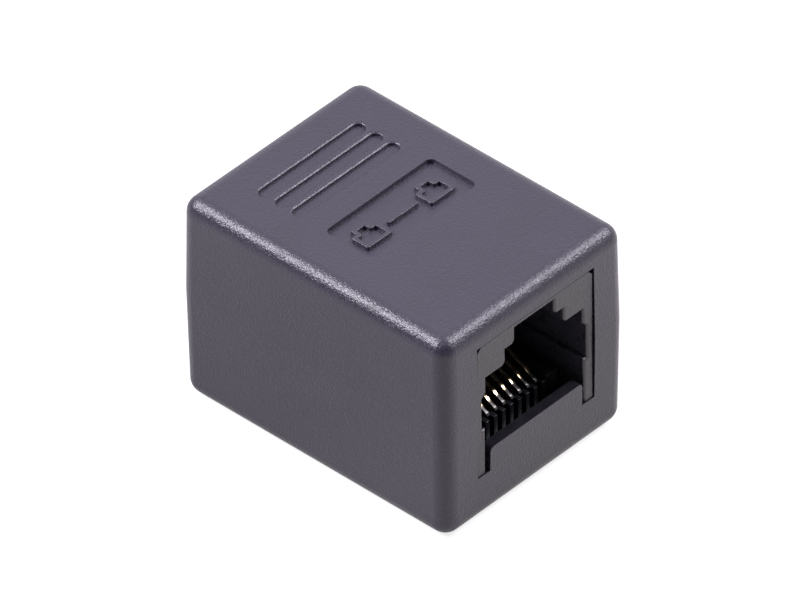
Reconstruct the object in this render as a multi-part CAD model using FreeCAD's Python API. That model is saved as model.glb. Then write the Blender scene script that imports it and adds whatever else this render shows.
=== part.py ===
import FreeCAD, Part
import math
import os

# RJ45 inline coupler: two modular jacks back to back on one circuit board, closed in a moulded
# housing of two halves. X runs from plug to plug, Y across the coupler and Z up, in millimetres.
# The origin is the centre of the underside. End A looks along +X and end B is end A turned by
# half a turn about Z, so every part of an end is drawn once, at end A.

V = FreeCAD.Vector

# Housing, outside
length = 31.0            # end face to end face
width = 23.0
height = 21.5
seam_height = 11.4       # where the two halves meet
draft_angle = 0.8        # each half narrows away from the seam
edge_radius = 1.6        # all outer edges

# Housing, inside
side_wall = 1.8
end_wall = 1.1
floor_wall = 1.8
roof_wall = 2.0
lip_thickness = 0.5      # the upper half's lip, inside the lower half's rebate
lip_height = 0.8
lip_clearance = 0.08

# Window in each end wall, and the tongue of the lower half that stands in it
window_width = 14.8
window_sill = 4.85       # underside of the coupler to the bottom of the window
window_head = 2.35       # top of the window to the top of the coupler
tongue_width = 11.65
tongue_height = 2.5      # above the window sill
tongue_corner = 0.45

# Grip grooves and label recess in the top face
grip_count = 3
grip_pitch = 1.97
grip_width = 1.28
grip_length = 12.96
grip_depth = 0.35
grip_first = 4.5         # end B's face to the first groove's edge
grip_rim = 0.2           # width of the broken edge round each groove
grip_rim_slope = 30.0    # and its slope, in degrees
label_start = 12.47      # end B's face to the label recess
label_length = 5.46      # along X
label_left = -6.45       # its two ends along Y
label_right = 6.98
label_depth = 0.6
label_corner = 0.65
recess_draft = 5.0       # slope of every recess wall, in degrees

# Jack body: an upside-down U with a stepped port
face_recess = 0.2        # jack face behind the end face
bezel_clearance = 0.15   # bezel to window, each side
sill_gap = 0.1           # board top above the window sill
bezel_corner = 0.5
flange = 0.5             # jack body past the window, each side
flange_gap = 0.1         # body to the end wall's inner face
roof_gap = 0.15          # body to the housing's roof
port_depth = 12.4        # jack face to the stop wall
leg_inner = 6.2          # half widths of the port, from the board up
guide_height = 4.7       # board top to the top of the guide ribs
mouth_half = 6.6
shoulder_drop = 1.8      # roof of the plug space to the shoulder below it
plug_half = 6.1
shelf_half = 3.65        # wide step of the latch slot
notch_half = 2.45        # narrow step of the latch slot
step_height = 1.65       # each step of the latch slot
port_roof = 0.5          # bezel over the latch slot
step_chamfer = 0.25      # under the shoulders
step_corner = 0.35       # broken edges of the latch slot's steps
lead_in = 0.3            # rounded mouth of the port
latch_wall = 1.5         # the latch catches behind this much of the face
peg_diameter = 1.5
peg_length = 1.3
peg_setback = 7.2        # jack face to the pegs
peg_clearance = 0.08

# Circuit board
board_thickness = 1.6
board_side_gap = 0.3
board_end_gap = 0.4
ledge_width = 1.8        # shelf of the lower half that carries the board
pin_diameter = 1.1       # locating pins on that shelf
pin_rise = 0.5           # pin above the board
pin_clearance = 0.1

# Contact wires and their carrier
contact_count = 8
contact_pitch = 1.016
wire_width = 0.40
wire_thickness = 0.32
carrier_depth = 2.9      # end face to the front of the carrier
slot_recess = 0.3        # carrier's front to the front of the wires
knuckle_radius = 0.45
knuckle_height = 2.4     # board top to the wire's centre line over the knuckle
slope_start = 29.0       # rise of the spring arm at the knuckle, in degrees
slope_end = 21.5         # and at its free end
arm_length = 6.6
foot_radius = 0.36
tail_row = 2.6           # knuckle to the end of the shorter tails
tail_stagger = 2.54      # the longer tails reach this much further
slot_clearance = 0.08    # wire to the carrier's slot, each side
carrier_height = 2.1     # comb ribs above the board
cheek_height = 2.6       # side blocks above the board
cheek_start = 4.3        # half width where the side blocks begin
carrier_gap = 0.4        # carrier to the jack's legs, each side
carrier_back_gap = 0.3   # carrier to the stop wall
slot_floor = 1.65        # floor of the comb's slots above the board
comb_reach = 3.4         # rear comb out of the stop wall
comb_bottom = 3.7        # above the board
comb_height = 2.2

# Inner ribs of the upper half
divider = 1.2            # between the two jacks
divider_gap = 0.3
post_length = 1.6        # posts that hold the board down
post_setback = 7.0       # end face to the posts
post_gap = 0.25          # post to the jack body
post_side_gap = 0.15     # post to the lower half's wall
post_foot_gap = 0.1      # post to the board

# Places that follow from the sizes above
half_length = length / 2
half_width = width / 2
inner_x = half_length - end_wall
inner_y = half_width - side_wall
roof = height - roof_wall
window_top = height - window_head
board_top = window_sill + sill_gap
board_bottom = board_top - board_thickness
tongue_top = window_sill + tongue_height
jack_face = half_length - face_recess
jack_back = divider / 2 + divider_gap
jack_top = roof - roof_gap
jack_half = window_width / 2 + flange
stop_wall = jack_face - port_depth
pin_y = inner_y - ledge_width + pin_diameter / 2
body_front = inner_x - flange_gap
bezel_top = window_top - bezel_clearance
bezel_half = window_width / 2 - bezel_clearance
latch_roof = bezel_top - port_roof
latch_shelf = latch_roof - step_height
plug_roof = latch_shelf - step_height
carrier_front = half_length - carrier_depth
wire_x = carrier_front - slot_recess - wire_thickness / 2


def box(x0, x1, y0, y1, z0, z1):
    """Block between two corners."""
    return Part.makeBox(x1 - x0, y1 - y0, z1 - z0, V(x0, y0, z0))


def cylinder(x, y, z0, z1, diameter):
    """Upright cylinder."""
    return Part.makeCylinder(diameter / 2, z1 - z0, V(x, y, z0))


def rounded_rectangle(x0, x1, y0, y1, z, radius):
    """Closed level outline with round corners."""
    face = Part.Face(Part.makePolygon([V(x, y, z) for x, y in
                                       ((x0, y0), (x1, y0), (x1, y1), (x0, y1), (x0, y0))]))
    block = face.extrude(V(0, 0, 1))
    upright = [e for e in block.Edges if e.BoundBox.ZLength > 0.5]
    rounded = block.makeFillet(radius, upright)
    level = [f for f in rounded.Faces if f.BoundBox.ZMax < z + 0.5]
    return level[0].OuterWire


def end_profile(points, x0, x1):
    """Prism along X from an outline of (y, z) points."""
    loop = [V(x0, y, z) for y, z in points]
    face = Part.Face(Part.makePolygon(loop + loop[:1]))
    return face.extrude(V(x1 - x0, 0, 0))


def turned(shape):
    """The same shape at end B."""
    copy = shape.copy()
    copy.rotate(V(0, 0, 0), V(0, 0, 1), 180)
    return copy


def both_ends(shape):
    """The shape at end A with its twin at end B."""
    return [shape, turned(shape)]


def contact_places():
    """The y of each contact, from -Y to +Y."""
    middle = (contact_count - 1) / 2
    return [(i - middle) * contact_pitch for i in range(contact_count)]


# ---- Housing -------------------------------------------------------------------------------

def outer_half(z_far):
    """One half of the outer block: widest at the seam, drafted and rounded towards z_far."""
    tall = abs(z_far - seam_height)
    inset = tall * math.tan(math.radians(draft_angle))
    block = Part.makeWedge(-half_length, 0, -half_width, inset - half_width, inset - half_length,
                           half_length, tall, half_width, half_width - inset, half_length - inset)
    block.rotate(V(0, 0, 0), V(1, 0, 0), 90 if z_far > seam_height else -90)
    block.translate(V(0, 0, seam_height))
    edges = [e for e in block.Edges if max(abs(v.Z - seam_height) for v in e.Vertexes) > 1e-6]
    return block.makeFillet(edge_radius, edges)


def cavity(z0, z1, extra=0.0):
    """Inner space of the housing, or with extra a wider one round it."""
    return box(-inner_x - extra, inner_x + extra, -inner_y - extra, inner_y + extra, z0, z1)


def lip_ring(z0, z1, extra):
    """Band round the cavity for the seam's lip, or with extra for its rebate."""
    return cavity(z0, z1, lip_thickness + extra).cut(cavity(z0, z1))


def window(z0, z1):
    """Cutter for one window, right through end A's wall."""
    return box(inner_x - 1, half_length + 1, -window_width / 2, window_width / 2, z0, z1)


def recess(x0, x1, y0, y1, depth, radius, rim):
    """Cutter for a recess in the top face, with drafted walls and a broken rim."""
    drop = rim * math.tan(math.radians(grip_rim_slope))
    slope = (depth - drop) * math.tan(math.radians(recess_draft))
    levels = [(height - depth, -slope), (height - drop, 0.0)]
    if rim > 0:
        levels.append((height, rim))
    levels.append((height + 1, rim))
    outlines = [rounded_rectangle(x0 - grow, x1 + grow, y0 - grow, y1 + grow, z, radius + grow)
                for z, grow in levels]
    return Part.makeLoft(outlines, True, True)


def grip_edges():
    """The low-X edge of each grip groove."""
    return [-half_length + grip_first + i * grip_pitch for i in range(grip_count)]


def board_posts():
    """Posts of the upper half that hold the board down, at end A."""
    x0 = half_length - post_setback - post_length / 2
    y0 = jack_half + post_gap
    post = box(x0, x0 + post_length, y0, inner_y - post_side_gap, board_top + post_foot_gap, roof)
    root = box(x0, x0 + post_length, y0, inner_y, seam_height, roof)
    right = post.fuse(root)
    left = right.mirror(V(0, 0, 0), V(0, 1, 0))
    return [right, left]


def top_shell():
    """Upper half: roof with grip grooves and label recess, lip, divider and posts."""
    shell = outer_half(height).cut(cavity(seam_height - 1, roof))
    shell = shell.fuse(lip_ring(seam_height - lip_height, seam_height, 0))
    inside = [box(-divider / 2, divider / 2, -inner_y, inner_y, seam_height, roof)]
    for post in board_posts():
        inside += both_ends(post)
    shell = shell.fuse(inside)
    shell = shell.cut(both_ends(window(seam_height - lip_height - 1, window_top)))
    shell = shell.removeSplitter()
    marks = [recess(x, x + grip_width, -grip_length / 2, grip_length / 2, grip_depth,
                    0.499 * grip_width, grip_rim) for x in grip_edges()]
    label_x = -half_length + label_start
    marks.append(recess(label_x, label_x + label_length, label_left, label_right, label_depth,
                        label_corner, 0.0))
    return shell.cut(marks)


def tongue():
    """Tongue of the lower half between the jack's legs, flush with end face A."""
    block = box(inner_x, half_length, -tongue_width / 2, tongue_width / 2,
                window_sill - 0.5, tongue_top)
    corners = [e for e in block.Edges
               if e.BoundBox.ZMin > tongue_top - 1e-6 and e.BoundBox.YLength < 1e-6]
    return block.makeFillet(tongue_corner, corners)


def bottom_shell():
    """Lower half: floor, board shelves with locating pins, rebate for the lip, tongues."""
    shell = outer_half(0).cut(cavity(floor_wall, seam_height + 1))
    rebate = lip_ring(seam_height - lip_height - lip_clearance, seam_height + 1, lip_clearance)
    shell = shell.cut(rebate)
    shelves = []
    for side in (-1, 1):
        y0, y1 = sorted([side * (inner_y - ledge_width), side * inner_y])
        shelves.append(box(-inner_x, inner_x, y0, y1, floor_wall, board_bottom))
        shelves.append(cylinder(0, side * pin_y, floor_wall, board_top + pin_rise, pin_diameter))
    shell = shell.fuse(shelves)
    shell = shell.cut(both_ends(window(window_sill, seam_height + 1)))
    outside = outer_half(0)
    for piece in both_ends(tongue()):
        shell = shell.fuse(piece.common(outside))
    return shell.removeSplitter()


# ---- Jack ----------------------------------------------------------------------------------

def port_outline():
    """Outline of the port, open down to the board between the legs."""
    c = step_chamfer
    guide_top = board_top + guide_height
    shoulder = plug_roof - shoulder_drop
    right = [(leg_inner, board_top - 1), (leg_inner, guide_top), (mouth_half, guide_top),
             (mouth_half, shoulder - c), (plug_half, shoulder + c), (plug_half, plug_roof),
             (shelf_half + step_corner, plug_roof), (shelf_half, plug_roof + step_corner),
             (shelf_half, latch_shelf), (notch_half + step_corner, latch_shelf),
             (notch_half, latch_shelf + step_corner), (notch_half, latch_roof)]
    left = [(-y, z) for y, z in reversed(right)]
    return right + left


def rear_comb():
    """Ribs on the stop wall that keep the free ends of the contacts apart."""
    rib = contact_pitch - wire_width - 2 * slot_clearance
    z0 = board_top + comb_bottom
    ribs = []
    for i in range(contact_count + 1):
        y = (i - contact_count / 2) * contact_pitch
        ribs.append(box(stop_wall - 0.5, stop_wall + comb_reach, y - rib / 2, y + rib / 2,
                        z0, z0 + comb_height))
    return ribs


def peg_places():
    """The two pegs of jack A, as (x, y)."""
    y = (leg_inner + jack_half) / 2
    x = jack_face - peg_setback
    return [(x, -y), (x, y)]


def jack_body():
    """Jack A: body behind the end wall, bezel in the window, stepped port, comb and pegs."""
    body = box(jack_back, body_front, -jack_half, jack_half, board_top, jack_top)
    c = bezel_corner
    bezel_outline = [(-bezel_half, board_top), (bezel_half, board_top),
                     (bezel_half, bezel_top - c), (bezel_half - c, bezel_top),
                     (-bezel_half + c, bezel_top), (-bezel_half, bezel_top - c)]
    body = body.fuse(end_profile(bezel_outline, body_front - 0.5, jack_face))
    body = body.cut(end_profile(port_outline(), stop_wall, jack_face + 1))
    pocket = box(stop_wall, jack_face - latch_wall, -shelf_half, shelf_half,
                 plug_roof - 0.1, latch_roof)
    body = body.cut(pocket).removeSplitter()
    mouth = []
    for edge in body.Edges:
        span = edge.BoundBox
        on_face = span.XMin > jack_face - 1e-6
        inside = max(abs(span.YMin), abs(span.YMax)) < mouth_half + 1e-6
        if on_face and inside and span.ZMax > board_top + 1e-3:
            mouth.append(edge)
    body = body.makeFillet(lead_in, mouth)
    pegs = [cylinder(x, y, board_top - peg_length, board_top + 0.5, peg_diameter)
            for x, y in peg_places()]
    return body.fuse(rear_comb() + pegs).removeSplitter()


# ---- Contacts and carrier ------------------------------------------------------------------

def tail_end(index):
    """The x where a contact's tail ends on the board: short and long tails take turns."""
    return wire_x - tail_row - (index % 2) * tail_stagger


def contact_carrier():
    """Carrier A: block on the board with a comb on top and in front, and grooves below."""
    half = leg_inner - carrier_gap
    back = stop_wall + carrier_back_gap
    block = box(back, carrier_front, -half, half, board_top, board_top + carrier_height)
    cheeks = []
    for side in (-1, 1):
        y0, y1 = sorted([side * cheek_start, side * half])
        cheeks.append(box(back, carrier_front, y0, y1, board_top, board_top + cheek_height))
    block = block.fuse(cheeks)
    slot = wire_width / 2 + slot_clearance
    slot_back = wire_x - wire_thickness / 2 - slot_clearance
    slots = []
    for index, y in enumerate(contact_places()):
        low, high = y - slot, y + slot
        top = board_top + carrier_height + 1
        groove_back = tail_end(index) - slot_clearance
        slots.append(box(slot_back, carrier_front + 1, low, high, board_top - 1, top))
        slots.append(box(back - 1, slot_back + 0.1, low, high, board_top + slot_floor, top))
        slots.append(box(groove_back, slot_back + 0.1, low, high, board_top - 1,
                         board_top + wire_thickness + slot_clearance))
    return block.cut(slots).removeSplitter()


def arc(centre, radius, start, end):
    """Arc in the XZ plane; angles in degrees from +X towards +Z."""
    points = []
    for angle in (start, (start + end) / 2, end):
        a = math.radians(angle)
        points.append(centre + V(radius * math.cos(a), 0, radius * math.sin(a)))
    return Part.Arc(*points).toShape()


def line(start, end):
    """Straight stretch of a wire."""
    return Part.LineSegment(start, end).toShape()


def contact(index):
    """Contact of jack A: tail flat on the board, toe, knuckle and bowed spring arm."""
    y = contact_places()[index]
    tail_x = tail_end(index)
    tail_z = board_top + wire_thickness / 2
    knuckle_z = board_top + knuckle_height - knuckle_radius
    toe = V(wire_x - foot_radius, y, tail_z + foot_radius)
    knuckle = V(wire_x - knuckle_radius, y, knuckle_z)
    # The arm's bow goes on from the knuckle along the same tangent.
    bow = arm_length / math.radians(slope_start - slope_end)
    lean = math.radians(90 - slope_start)
    bow_centre = knuckle - V(math.cos(lean), 0, math.sin(lean)) * (bow - knuckle_radius)
    path = Part.Wire([
        line(V(tail_x, y, tail_z), V(toe.x, y, tail_z)),
        arc(toe, foot_radius, 270, 360),
        line(V(wire_x, y, toe.z), V(wire_x, y, knuckle_z)),
        arc(knuckle, knuckle_radius, 0, 90 - slope_start),
        arc(bow_centre, bow, 90 - slope_start, 90 - slope_end),
    ])
    low, high = y - wire_width / 2, y + wire_width / 2
    corners = [V(tail_x, low, board_top), V(tail_x, high, board_top),
               V(tail_x, high, board_top + wire_thickness), V(tail_x, low, board_top + wire_thickness)]
    return path.makePipeShell([Part.makePolygon(corners + corners[:1])], True, False)


# ---- Circuit board -------------------------------------------------------------------------

def circuit_board():
    """Board under both jacks, with holes for their pegs and for the locating pins."""
    half_x = inner_x - board_end_gap
    half_y = inner_y - board_side_gap
    board = box(-half_x, half_x, -half_y, half_y, board_bottom, board_top)
    holes = []
    for x, y in peg_places():
        peg = cylinder(x, y, board_bottom - 1, board_top + 1, peg_diameter + 2 * peg_clearance)
        holes += both_ends(peg)
    for side in (-1, 1):
        holes.append(cylinder(0, side * pin_y, board_bottom - 1, board_top + 1,
                              pin_diameter + 2 * pin_clearance))
    return board.cut(holes)


parts = {
    "top_shell": top_shell(),
    "bottom_shell": bottom_shell(),
    "circuit_board": circuit_board(),
}
jack = jack_body()
carrier = contact_carrier()
parts["jack_body_a"] = jack
parts["jack_body_b"] = turned(jack)
parts["contact_carrier_a"] = carrier
parts["contact_carrier_b"] = turned(carrier)
for index in range(contact_count):
    wire = contact(index)
    parts["contact_a_%d" % (index + 1)] = wire
    parts["contact_b_%d" % (index + 1)] = turned(wire)

os.makedirs("parts", exist_ok=True)
for name, shape in parts.items():
    shape.exportStep("parts/%s.step" % name)
    print("%-20s solids %d  volume %.2f mm3  valid %s"
          % (name, len(shape.Solids), shape.Volume, shape.isValid()))
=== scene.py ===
import math

import bmesh
import bpy
from mathutils import Matrix, Vector


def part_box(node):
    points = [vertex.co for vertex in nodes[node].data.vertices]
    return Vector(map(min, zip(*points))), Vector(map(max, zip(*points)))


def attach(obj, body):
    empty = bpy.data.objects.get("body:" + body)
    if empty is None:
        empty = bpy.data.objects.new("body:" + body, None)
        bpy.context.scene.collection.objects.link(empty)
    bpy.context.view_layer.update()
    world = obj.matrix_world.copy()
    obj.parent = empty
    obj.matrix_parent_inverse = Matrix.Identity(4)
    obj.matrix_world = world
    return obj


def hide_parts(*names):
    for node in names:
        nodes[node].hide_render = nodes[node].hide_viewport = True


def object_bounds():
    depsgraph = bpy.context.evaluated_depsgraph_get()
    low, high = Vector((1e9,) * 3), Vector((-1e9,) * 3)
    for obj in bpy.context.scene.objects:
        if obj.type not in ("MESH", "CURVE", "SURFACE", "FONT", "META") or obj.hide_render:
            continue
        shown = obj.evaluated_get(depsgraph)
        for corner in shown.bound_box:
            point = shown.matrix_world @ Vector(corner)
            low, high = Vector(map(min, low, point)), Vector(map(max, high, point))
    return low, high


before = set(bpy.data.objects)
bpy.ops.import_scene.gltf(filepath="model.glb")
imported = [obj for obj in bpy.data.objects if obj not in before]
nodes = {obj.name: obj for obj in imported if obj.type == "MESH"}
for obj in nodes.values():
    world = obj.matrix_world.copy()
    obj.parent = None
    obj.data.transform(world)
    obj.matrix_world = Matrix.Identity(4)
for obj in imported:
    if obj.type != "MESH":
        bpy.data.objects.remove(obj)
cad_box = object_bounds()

MM = 0.001
scene = bpy.context.scene
low, high = cad_box

SEAM = 11.4              # height of the seam between the housing's halves
DRAFT = math.tan(math.radians(0.8))
WINDOW_HALF = 7.4        # half the width of the window in an end wall
WINDOW_TOP = 19.15
JACK_FACE = 15.3         # the jack's face, along X
GUIDE_TOP = 9.65         # top of the guide ribs inside the port
LABEL_FLOOR = 20.9       # height of the label recess's floor in the solid
LABEL_REACH = 8.0        # the whole recess lies this close to the middle, in X and in Y
GRIP_LIP = 21.385        # foot of the sloping rim round each grip groove
WIRE_THICK = 0.32
FOOT_RADIUS = 0.36       # bend of a contact just over the board
KNUCKLE_RADIUS = 0.45    # bend of a contact over the comb block
KNUCKLE_HEIGHT = 2.4     # board to the wire's centre line over the knuckle
SLOPE_START = 29.0       # rise of the spring arm at the knuckle, in degrees
SLOPE_END = 21.5         # and at its free end
ARM_LENGTH = 6.6
TAIL_ROW = 2.6           # knuckle to the end of the shorter tails
TAIL_STAGGER = 2.54      # the longer tails reach this much further

# What the scene adds to the solids, in millimetres.
SMALL_ROUND = 0.05       # bevel on the housing's and the jacks' sharp edges
COMB_ROUND = 0.03        # on the comb blocks' edges
GRIP_ROUND = 0.03        # along the foot of the grips' rims
LABEL_ROUND = 0.12       # round the label floor
WIDEST_ROUND = 0.2       # the bevel at full weight
LABEL_LIFT = 0.2         # the label recess is this much shallower than the solid's
SIGN_X = -0.1            # middle of the pictogram in it
SIGN_Y = 0.0
SAME_HEIGHT = 0.01       # points closer than this lie at one height
WIRE_CORNER = 0.06       # rounded edge of the contact wire
CROWN_HEIGHT = 0.07      # low crown on each spring arm, where a plug's blade presses
CROWN_PLACE = 1.25       # knuckle to the crown, along the arm
CROWN_SPREAD = 0.38
DULL_SHADE_START = 11.28       # outwards of this, along X, the contacts turn duller and are painted darker, as painted shade
DULL_SHADE_FADE = 0.2


# ---- Camera ---------------------------------------------------------------------------------

def make_camera():
    """Long lens from the front right and above, as far off as the fitted perspective says."""
    azimuth, elevation, roll = 0.748938, 0.689930, -0.0112633
    shift_right, shift_up = -0.2234 * MM, 0.6809 * MM
    distance = 1.5398066
    back = Vector((math.sin(azimuth) * math.cos(elevation), -math.cos(azimuth) * math.cos(elevation),
                   math.sin(elevation)))
    level = Vector((math.cos(azimuth), math.sin(azimuth), 0))
    rise = back.cross(level)
    right = math.cos(roll) * level + math.sin(roll) * rise
    up = -math.sin(roll) * level + math.cos(roll) * rise
    data = bpy.data.cameras.new("camera")
    data.sensor_width = 36.0
    data.lens = 810.0
    data.clip_start = 0.01
    data.clip_end = 10.0
    camera = bpy.data.objects.new("camera", data)
    scene.collection.objects.link(camera)
    middle = Vector((0, 0, (low.z + high.z) / 2))
    place = middle + right * shift_right + up * shift_up + back * distance
    turn = Matrix((right, up, back)).transposed()
    camera.matrix_world = Matrix.Translation(place) @ turn.to_4x4()
    scene.camera = camera


# ---- Node helpers ---------------------------------------------------------------------------

# The Mix node's sockets for each kind of data: its two inputs and its output.
MIX_SOCKETS = {"FLOAT": (2, 3, 0), "VECTOR": (4, 5, 1), "RGBA": (6, 7, 2)}
# What a finish is made of: the shader's sockets and their kinds of data.
FINISH_SOCKETS = {"Base Color": "RGBA", "Roughness": "FLOAT", "Normal": "VECTOR"}
# Most of a noise lies between these two values.
NOISE_LOW, NOISE_HIGH = 0.3, 0.7
WHITE = (1, 1, 1, 1)


class Nodes:
    """Short way to build a node tree."""

    def __init__(self, tree):
        self.tree = tree

    def feed(self, socket, value):
        """Links a socket to another one, or gives it a plain value."""
        if isinstance(value, bpy.types.NodeSocket):
            self.tree.links.new(value, socket)
        else:
            socket.default_value = value

    def add(self, kind, inputs=(), **settings):
        node = self.tree.nodes.new(kind)
        for key, value in settings.items():
            setattr(node, key, value)
        for key, value in dict(inputs).items():
            self.feed(node.inputs[key], value)
        return node

    def math(self, operation, first, second=0.0):
        return self.add("ShaderNodeMath", {0: first, 1: second}, operation=operation).outputs[0]

    def mix(self, kind, factor, first, second):
        """First where factor is 0, second where it is 1."""
        a, b, result = MIX_SOCKETS[kind]
        return self.add("ShaderNodeMix", {0: factor, a: first, b: second}, data_type=kind).outputs[result]

    def spread(self, source, from_low, from_high, to_low=0.0, to_high=1.0, curve="LINEAR"):
        """Carries one range over to another and stays level beyond its ends."""
        node = self.add("ShaderNodeMapRange", {"Value": source, "From Min": from_low,
                                               "From Max": from_high, "To Min": to_low,
                                               "To Max": to_high}, interpolation_type=curve)
        return node.outputs["Result"]


class Material(Nodes):
    """Nodes that feed the shader of a new material."""

    def __init__(self, name):
        self.material = bpy.data.materials.new(name)
        self.material.use_nodes = True
        super().__init__(self.material.node_tree)
        self.shader = self.tree.nodes["Principled BSDF"]
        self.place = self.add("ShaderNodeTexCoord").outputs["Object"]

    def set(self, socket, value):
        self.feed(self.shader.inputs[socket], value)

    def axes(self):
        """The place along X, Y and Z, in metres."""
        return self.add("ShaderNodeSeparateXYZ", {"Vector": self.place}).outputs

    def size(self, value):
        return self.math("ABSOLUTE", value)

    def below(self, value, limit, soft=0.02 * MM):
        """1 where value is under limit, 0 over it."""
        return self.spread(value, limit - soft, limit + soft, 1.0, 0.0)

    def noise(self, scale, detail, roughness=0.5):
        node = self.add("ShaderNodeTexNoise", {"Vector": self.place, "Scale": scale,
                                               "Detail": detail, "Roughness": roughness})
        return node.outputs["Fac"]

    def vary(self, noise, least, most):
        """A value that follows a noise."""
        return self.spread(noise, NOISE_LOW, NOISE_HIGH, least, most)

    def shades(self, noise, dark, light):
        """A colour that follows a noise."""
        node = self.add("ShaderNodeValToRGB", {"Fac": noise})
        ends = ((NOISE_LOW, dark), (NOISE_HIGH, light))
        for end, (where, colour) in zip(node.color_ramp.elements, ends):
            end.position = where
            end.color = (*colour, 1)
        return node.outputs["Color"]

    def bump(self, height, distance, strength, normal=None):
        inputs = {"Height": height, "Distance": distance, "Strength": strength}
        if normal is not None:
            inputs["Normal"] = normal
        return self.add("ShaderNodeBump", inputs).outputs["Normal"]


# ---- Materials ------------------------------------------------------------------------------

PLASTIC_IOR = 1.55


def scaled(colour, factor):
    return tuple(factor * c for c in colour)


def textured_plastic(m, tint):
    """Spark-eroded outside finish: its colour, roughness and normal."""
    fine = m.noise(7000, 3, 0.6)
    grain = m.noise(4400, 2, 0.55)
    patches = m.noise(160, 3)
    shade = m.math("ADD", m.math("MULTIPLY", fine, 0.55), m.math("MULTIPLY", patches, 0.45))
    colour = m.shades(shade, scaled(tint, 0.86), scaled(tint, 1.14))
    pits = m.bump(fine, 0.03 * MM, 0.6)
    return colour, m.vary(grain, 0.27, 0.37), m.bump(grain, 0.09 * MM, 0.65, pits)


def smooth_plastic(m, level=1.0):
    """Smooth black inside finish: its colour, roughness and normal. A level over 1 paints the colour
    lighter, as painted fill light.
    """
    flow = m.noise(700, 4)
    fine = m.noise(6000, 2)
    colour = m.shades(flow, scaled((0.015, 0.014, 0.018), level), scaled((0.021, 0.020, 0.025), level))
    return colour, m.vary(flow, 0.24, 0.36), m.bump(fine, 0.01 * MM, 0.4)


def two_finishes(m, mask, outside, inside):
    """Outside finish where mask is 0 and inside finish where it is 1."""
    for (socket, kind), first, second in zip(FINISH_SOCKETS.items(), outside, inside):
        m.set(socket, m.mix(kind, mask, first, second))


def housing_plastic():
    """Dark violet-grey plastic: spark-eroded outside, smooth and black inside the windows."""
    m = Material("housing_plastic")
    x, y, z = m.axes()
    off_seam = m.size(m.math("SUBTRACT", z, SEAM * MM))
    # How far out a place is, with the draft of the end faces allowed for.
    out = m.math("ADD", m.size(x), m.math("MULTIPLY", off_seam, DRAFT))
    # The outside finish turns the windows' edges by this much, and stops this far past their sides.
    turned, past = 0.07 * MM, 0.03
    mask = m.below(out, high.x - turned)
    mask = m.math("MULTIPLY", mask, m.below(m.size(y), (WINDOW_HALF + past) * MM))
    mask = m.math("MULTIPLY", mask, m.below(z, (WINDOW_TOP + past) * MM))
    colour, rough, normal = textured_plastic(m, (0.036, 0.029, 0.048))
    # The seam shows as a hair line.
    hair = m.spread(off_seam, 0.0, 0.05 * MM, 1.0, 0.0)
    normal = m.bump(m.math("SUBTRACT", 1.0, hair), 0.02 * MM, 0.25, normal)
    two_finishes(m, mask, (colour, rough, normal), smooth_plastic(m))
    m.set("IOR", PLASTIC_IOR)
    return m.material


def jack_plastic():
    """The jack's face is textured like the housing; its inside is smooth and nearly black, painted three
    times lighter than the housing's inside as painted fill light in the deep port.
    """
    m = Material("jack_plastic")
    x, _, z = m.axes()
    # The texture turns the corner into the port, further in up to the top of the guide ribs.
    turned, further = 0.27, 0.15
    ribs = m.math("MULTIPLY", m.below(z, GUIDE_TOP * MM), further * MM)
    mask = m.below(m.math("ADD", m.size(x), ribs), (JACK_FACE - turned) * MM, 0.07 * MM)
    # Level 3.0 is painted fill light: the inside's colour is three times lighter than the housing's
    # inside.
    two_finishes(m, mask, textured_plastic(m, (0.036, 0.030, 0.040)), smooth_plastic(m, 3.0))
    m.set("IOR", PLASTIC_IOR)
    return m.material


def comb_plastic():
    """Smooth black plastic of the comb blocks that carry the contacts."""
    m = Material("carrier_plastic")
    for socket, source in zip(FINISH_SOCKETS, smooth_plastic(m)):
        m.set(socket, source)
    m.set("IOR", PLASTIC_IOR)
    return m.material


def gold():
    """Gold plate over drawn wire: fine draw lines along the spring."""
    m = Material("contact_gold")
    drawn = m.add("ShaderNodeMapping", {"Vector": m.place, "Scale": (300.0, 9000.0, 300.0)})
    lines = m.add("ShaderNodeTexNoise", {"Vector": drawn.outputs[0], "Scale": 1.0, "Detail": 2.0})
    lines = lines.outputs["Fac"]
    bright = m.shades(m.noise(900, 2), (0.62, 0.47, 0.25), (0.78, 0.62, 0.38))
    # Duller near the bend over the comb block, with painted shade there: a dark grey in place of gold, so
    # that only small grey glints show.
    dull_and_painted_shade = m.spread(m.size(m.axes()["X"]), DULL_SHADE_START * MM, (DULL_SHADE_START + DULL_SHADE_FADE) * MM)
    m.set("Base Color", m.mix("RGBA", dull_and_painted_shade, bright, (0.065, 0.061, 0.058, 1)))
    m.set("Roughness", m.math("ADD", m.vary(lines, 0.09, 0.16), m.math("MULTIPLY", dull_and_painted_shade, 0.10)))
    m.set("Metallic", 1.0)
    m.set("Normal", m.bump(lines, 0.01 * MM, 0.2))
    return m.material


def board_resist():
    """Green solder resist over fibreglass weave."""
    m = Material("board_resist")
    weave = m.add("ShaderNodeTexWave", {"Vector": m.place, "Scale": 900.0, "Distortion": 0.6})
    tone = m.noise(500, 3)
    m.set("Base Color", m.shades(tone, (0.003, 0.016, 0.007), (0.005, 0.024, 0.011)))
    m.set("Roughness", m.vary(tone, 0.3, 0.42))
    m.set("Normal", m.bump(weave.outputs["Fac"], 0.01 * MM, 0.25))
    return m.material


# ---- Pieces ---------------------------------------------------------------------------------

def paint(mesh, finish):
    """Makes this the mesh's only material."""
    mesh.materials.clear()
    mesh.materials.append(finish)


def piece_of(name, mesh, finish):
    """A new piece that rides on the coupler."""
    piece = bpy.data.objects.new(name, mesh)
    scene.collection.objects.link(piece)
    paint(mesh, finish)
    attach(piece, "root")
    return piece


def smooth_by_angle(mesh, degrees):
    """Smooth shading except over edges sharper than this."""
    mesh.shade_smooth()
    mesh.set_sharp_from_angle(angle=math.radians(degrees))


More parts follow.
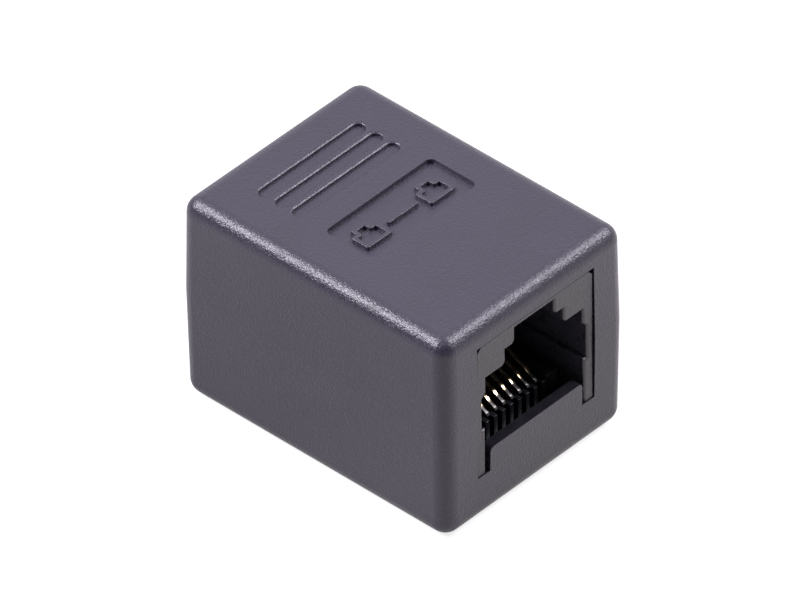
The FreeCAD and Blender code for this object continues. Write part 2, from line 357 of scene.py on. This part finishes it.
def mesh_of(draft):
    """The object's mesh with its modifiers or its curve worked out."""
    graph = bpy.context.evaluated_depsgraph_get()
    return bpy.data.meshes.new_from_object(draft.evaluated_get(graph))


def apply_modifiers(piece):
    """Bakes the piece's modifiers into its mesh."""
    old = piece.data
    mesh = mesh_of(piece)
    piece.modifiers.clear()
    piece.data = mesh
    bpy.data.meshes.remove(old)


def at_height(place, height):
    """True where a vertex, or every end of an edge, lies at this height in millimetres."""
    verts = place.verts if isinstance(place, bmesh.types.BMEdge) else (place,)
    return all(abs(vert.co.z - height * MM) < SAME_HEIGHT * MM for vert in verts)


def divide_grip_rims(bm):
    """A line along the middle of each grip's rim: its outer half rolls over, its inner half is flat."""
    slopes = []
    for edge in bm.edges:
        foot, head = sorted(edge.verts, key=lambda vert: vert.co.z)
        if at_height(foot, GRIP_LIP) and at_height(head, high.z / MM):
            slopes.append(edge)
    if slopes:
        bmesh.ops.subdivide_edges(bm, edges=slopes, cuts=1)


def weigh_bevel(bm, width, sharp=35):
    """Bevel weights for the sharp edges: this width, or the label floor's or the grips' own."""
    weight = bm.edges.layers.float.new("bevel_weight_edge")
    for edge in bm.edges:
        if not edge.is_manifold or edge.calc_face_angle() < math.radians(sharp):
            continue
        own = width
        if at_height(edge, LABEL_FLOOR):
            own = LABEL_ROUND
        if at_height(edge, GRIP_LIP):
            own = GRIP_ROUND
        edge[weight] = own / WIDEST_ROUND


def lift_label_floor(bm):
    for vert in bm.verts:
        inside = max(abs(vert.co.x), abs(vert.co.y)) < LABEL_REACH * MM
        if inside and at_height(vert, LABEL_FLOOR):
            vert.co.z += LABEL_LIFT * MM


def softened(node, finish, width):
    """A copy of the CAD node with its sharp edges bevelled.

    On both housing halves and on jack A the bevel's overlap clamp leaves only a few thousandths
    of a millimetre of it, so those edges stay sharp to the eye.
    """
    mesh = nodes[node].data.copy()
    mesh.name = node + "_soft"
    bm = bmesh.new()
    bm.from_mesh(mesh)
    weld, flat = 0.0005 * MM, math.radians(0.5)
    bmesh.ops.remove_doubles(bm, verts=bm.verts, dist=weld)
    bmesh.ops.dissolve_limit(bm, angle_limit=flat, verts=bm.verts, edges=bm.edges)
    divide_grip_rims(bm)
    weigh_bevel(bm, width)
    lift_label_floor(bm)
    bm.to_mesh(mesh)
    bm.free()
    piece = piece_of(node + "_soft", mesh, finish)
    bevel = piece.modifiers.new("round", "BEVEL")
    bevel.width = WIDEST_ROUND * MM
    bevel.segments = 4
    bevel.limit_method = "WEIGHT"
    bevel.use_clamp_overlap = True
    bevel.miter_outer = "MITER_ARC"
    apply_modifiers(piece)
    smooth_by_angle(piece.data, 26)
    true_flats(piece)
    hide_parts(node)


def true_flats(piece):
    """Gives the large flat faces their own normals, so that only the rounds are shaded round."""
    weighted = piece.modifiers.new("flats", "WEIGHTED_NORMAL")
    weighted.keep_sharp = True
    weighted.weight = 100
    apply_modifiers(piece)


def arc_points(centre, radius, start, end, count):
    """Points on an arc in the XZ plane, as (x, z)."""
    out = []
    for i in range(count + 1):
        a = math.radians(start + (end - start) * i / count)
        out.append((centre[0] + radius * math.cos(a), centre[1] + radius * math.sin(a)))
    return out


def wire_path(front, base, tail):
    """Centre line of a contact of end A from its tail to its free end, as (x, z)."""
    half = WIRE_THICK / 2 * MM
    foot, knuckle, arm = FOOT_RADIUS * MM, KNUCKLE_RADIUS * MM, ARM_LENGTH * MM
    x, z = front - half, base + half
    top = base + KNUCKLE_HEIGHT * MM - knuckle
    lean = 90 - SLOPE_START
    path = [(tail, z)]
    path += arc_points((x - foot, z + foot), foot, 270, 360, 8)
    path += arc_points((x - knuckle, top), knuckle, 0, lean, 10)
    # The arm is a wide bow that starts where the knuckle ends.
    bow = arm / math.radians(SLOPE_START - SLOPE_END)
    centre = (x - knuckle - math.cos(math.radians(lean)) * (bow - knuckle),
              top - math.sin(math.radians(lean)) * (bow - knuckle))
    steps = 48
    for i, (px, pz) in enumerate(arc_points(centre, bow, lean, 90 - SLOPE_END, steps)[1:]):
        from_crown = (arm * (i + 1) / steps - CROWN_PLACE * MM) / (CROWN_SPREAD * MM)
        crown = CROWN_HEIGHT * MM * math.exp(-from_crown ** 2)
        away = Vector((px - centre[0], pz - centre[1])).normalized()
        path.append((px + crown * away.x, pz + crown * away.y))
    return path


def wire_section(width, thick, corner, steps=4):
    """Rounded rectangle as (across, outwards)."""
    out = []
    for quarter, (sx, sy) in enumerate(((1, 1), (-1, 1), (-1, -1), (1, -1))):
        cx, cy = sx * (width / 2 - corner), sy * (thick / 2 - corner)
        for i in range(steps + 1):
            a = math.radians(90 * (quarter + i / steps))
            out.append((cx + corner * math.cos(a), cy + corner * math.sin(a)))
    return out


def swept(name, path, section, y, side):
    """Mesh of the section drawn along the path at this Y; side -1 turns it to end B."""
    bm = bmesh.new()
    rings = []
    for i, (x, z) in enumerate(path):
        before, after = path[max(i - 1, 0)], path[min(i + 1, len(path) - 1)]
        run = Vector((after[0] - before[0], 0, after[1] - before[1])).normalized()
        out = Vector((run.z, 0, -run.x))
        ring = []
        for across, outwards in section:
            point = Vector((x, 0, z)) + out * outwards
            ring.append(bm.verts.new((side * point.x, y + side * across, point.z)))
        rings.append(ring)
    for first, second in zip(rings, rings[1:]):
        for i in range(len(first)):
            j = (i + 1) % len(first)
            bm.faces.new((first[i], first[j], second[j], second[i]))
    bm.faces.new(rings[0])
    bm.faces.new(rings[-1][::-1])
    bmesh.ops.recalc_face_normals(bm, faces=bm.faces)
    mesh = bpy.data.meshes.new(name)
    bm.to_mesh(mesh)
    bm.free()
    return mesh


def contact(end, index, finish):
    """Spring contact with rounded wire edges, in the place of its CAD node."""
    node = "contact_%s_%d" % (end, index + 1)
    lo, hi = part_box(node)
    front = max(abs(lo.x), abs(hi.x))
    tail = front - WIRE_THICK / 2 * MM - (TAIL_ROW + TAIL_STAGGER * (index % 2)) * MM
    section = wire_section(hi.y - lo.y, WIRE_THICK * MM, WIRE_CORNER * MM)
    mesh = swept(node + "_wire", wire_path(front, lo.z, tail), section, (lo.y + hi.y) / 2,
                 -1 if end == "b" else 1)
    smooth_by_angle(mesh, 50)
    piece = piece_of(node + "_wire", mesh, finish)
    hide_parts(node)


def rounded(loop, radius, steps=4):
    """The same closed outline with its corners drawn round."""
    out = []
    for i, corner in enumerate(loop):
        corner = Vector(corner)
        ends = []
        for other in (loop[i - 1], loop[(i + 1) % len(loop)]):
            away = Vector(other) - corner
            ends.append(corner + away.normalized() * min(radius, 0.5 * away.length))
        for step in range(steps + 1):
            t = step / steps
            out.append((1 - t) ** 2 * ends[0] + 2 * t * (1 - t) * corner + t ** 2 * ends[1])
    return out


def port_outline(shift, inset):
    """Outline of a plain port, drawn in by inset: a wide opening with a narrower step on top."""
    wide, narrow = 1.55 - inset, 0.9 - inset
    bottom, shoulder, top = inset - 1.35, 0.65 - inset, 1.35 - inset
    half = [(wide, bottom), (wide, shoulder), (narrow, shoulder), (narrow, top)]
    whole = half + [(-u, v) for u, v in reversed(half)]
    return [(u + shift, v) for u, v in whole]


def pictogram(finish):
    """Raised sign in the label recess: two plain ports and the bar that joins them."""
    line_width, apart = 0.4, 4.0
    loops = [rounded([(1.9, -0.4), (1.9, 0), (-1.9, 0), (-1.9, -0.4)], 0.19)]
    for shift in (-apart, apart):
        loops += [rounded(port_outline(shift, inset), 0.22) for inset in (0, line_width)]
    rim, thick, sunk = 0.07 * MM, 0.5 * MM, 0.04 * MM
    curve = bpy.data.curves.new("sign", "CURVE")
    curve.dimensions = "2D"
    curve.fill_mode = "BOTH"
    curve.bevel_depth = rim
    curve.bevel_resolution = 3
    curve.offset = -rim
    curve.extrude = thick / 2 - rim
    for loop in loops:
        spline = curve.splines.new("POLY")
        spline.points.add(len(loop) - 1)
        for point, (u, v) in zip(spline.points, loop):
            point.co = (u * MM, v * MM, 0, 1)
        spline.use_cyclic_u = True
    draft = bpy.data.objects.new("sign", curve)
    scene.collection.objects.link(draft)
    mesh = mesh_of(draft)
    bpy.data.objects.remove(draft)
    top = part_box("top_shell")[1].z - sunk
    middle = Vector((SIGN_X * MM, SIGN_Y * MM, top - thick / 2))
    quarter_turn = Matrix(((0, -1, 0), (1, 0, 0), (0, 0, 1)))
    mesh.transform(Matrix.Translation(middle) @ quarter_turn.to_4x4())
    smooth_by_angle(mesh, 40)
    piece_of("label_pictogram", mesh, finish)


def coupler():
    """Every piece of the coupler, dressed."""
    housing = housing_plastic()
    black = jack_plastic()
    smooth_black = comb_plastic()
    gilt = gold()
    paint(nodes["circuit_board"].data, board_resist())
    for shell in ("top_shell", "bottom_shell"):
        softened(shell, housing, SMALL_ROUND)
    for end in "ab":
        softened("jack_body_" + end, black, SMALL_ROUND)
        softened("contact_carrier_" + end, smooth_black, COMB_ROUND)
        for index in range(8):
            contact(end, index, gilt)
    pictogram(housing)


# ---- Floor and light ------------------------------------------------------------------------

def floor_paper():
    """White to the camera; to glossy rays the floor glows as a painted reflection, with painted shade
    that darkens it near the coupler.
    """
    m = Material("floor_paper")
    m.set("Base Color", m.shades(m.noise(6, 3), (0.38, 0.38, 0.38), (0.40, 0.40, 0.40)))
    m.set("Roughness", 0.9)
    rays = m.add("ShaderNodeLightPath").outputs
    camera, glossy = rays["Is Camera Ray"], rays["Is Glossy Ray"]
    # White where the camera looks; a faintly warm painted reflection where the plastic mirrors it.
    m.set("Emission Color", m.mix("RGBA", glossy, WHITE, (1.0, 0.955, 0.93, 1)))
    # Painted shade in the painted reflection: the floor glows darker close to the coupler, on its left
    # and in front of its near corner.
    x, y, _ = m.axes()
    near = m.math("MAXIMUM", m.math("SUBTRACT", m.size(x), high.x),
                  m.math("SUBTRACT", m.size(y), high.y))
    painted_shade_near = m.spread(near, 0.0, 1.5 * MM, 0.74, 1.0)
    left = m.spread(m.math("ADD", x, y), -20 * MM, 25 * MM, 0.45, 0.78)
    corner = m.math("MULTIPLY", m.spread(x, 9 * MM, 15 * MM), m.spread(y, -8 * MM, -12 * MM))
    front = m.spread(corner, 0.0, 1.0, 1.0, 0.6)
    painted_reflection = m.math("MULTIPLY", glossy, m.math("MULTIPLY", painted_shade_near, left))
    painted_reflection = m.math("MULTIPLY", painted_reflection, front)
    m.set("Emission Strength", m.math("MAXIMUM", m.math("MULTIPLY", camera, 0.78), painted_reflection))
    return m.material


def floor():
    """Pale floor just under the coupler, which keeps a faint contact shadow."""
    bm = bmesh.new()
    bmesh.ops.create_grid(bm, x_segments=8, y_segments=8, size=1.6)
    mesh = bpy.data.meshes.new("floor")
    bm.to_mesh(mesh)
    bm.free()
    paint(mesh, floor_paper())
    piece = bpy.data.objects.new("floor", mesh)
    piece.location = (0, 0, low.z - 0.02 * MM)
    scene.collection.objects.link(piece)


def lamp(name, distance, direction, size, power):
    """Rectangular soft lamp, faintly violet, that looks at the coupler."""
    data = bpy.data.lights.new(name, "AREA")
    data.shape = "RECTANGLE"
    data.size, data.size_y = size
    data.energy = power
    data.color = (0.92, 0.90, 1.0)
    piece = bpy.data.objects.new(name, data)
    piece.location = distance * Vector(direction)
    piece.rotation_mode = "QUATERNION"
    aim = Vector((0, 0, 0.01))
    piece.rotation_quaternion = (distance * Vector(direction) - aim).to_track_quat("Z", "Y")
    scene.collection.objects.link(piece)


def tent():
    """World: white to the camera, a tent behind and above in what is mirrored, faint otherwise."""
    world = bpy.data.worlds.new("studio")
    world.use_nodes = True
    m = Nodes(world.node_tree)
    direction = m.add("ShaderNodeTexCoord").outputs["Generated"]

    def facing(towards, start, full):
        """0 to 1 as the direction turns towards the given one."""
        dot = m.add("ShaderNodeVectorMath", {0: direction, 1: Vector(towards).normalized()},
                    operation="DOT_PRODUCT")
        return m.spread(dot.outputs["Value"], start, full, curve="SMOOTHSTEP")

    cloth_strength, sky_strength, faint = 1.15, 0.12, 0.10
    cloth = m.math("MULTIPLY", facing((-0.35, 0.55, 0.75), 0.25, 0.75), cloth_strength)
    sky = m.math("MULTIPLY", facing((0.0, 0.0, 1.0), -0.1, 0.25), sky_strength)
    rays = m.add("ShaderNodeLightPath").outputs
    unseen = m.mix("FLOAT", rays["Is Glossy Ray"], faint, m.math("ADD", cloth, sky))
    background = world.node_tree.nodes["Background"]
    m.feed(background.inputs["Strength"], m.mix("FLOAT", rays["Is Camera Ray"], unseen, 1.0))
    m.feed(background.inputs["Color"], m.mix("RGBA", rays["Is Camera Ray"], (0.95, 0.93, 1, 1), WHITE))
    scene.world = world


make_camera()
coupler()
floor()
tent()
lamp("lamp_back_right", 0.8, (0.345, 0.566, 0.749), (0.30, 0.30), 4.3)
lamp("lamp_left", 0.8, (-0.525, -0.485, 0.699), (0.30, 0.30), 8.2)
lamp("lamp_right_fill", 0.9, (0.75, 0.62, 0.22), (0.9, 0.7), 1.5)
lamp("lamp_glint", 0.8, (0.50, 0.46, 0.73), (0.12, 0.12), 0.6)
scene.view_settings.view_transform = "Standard"
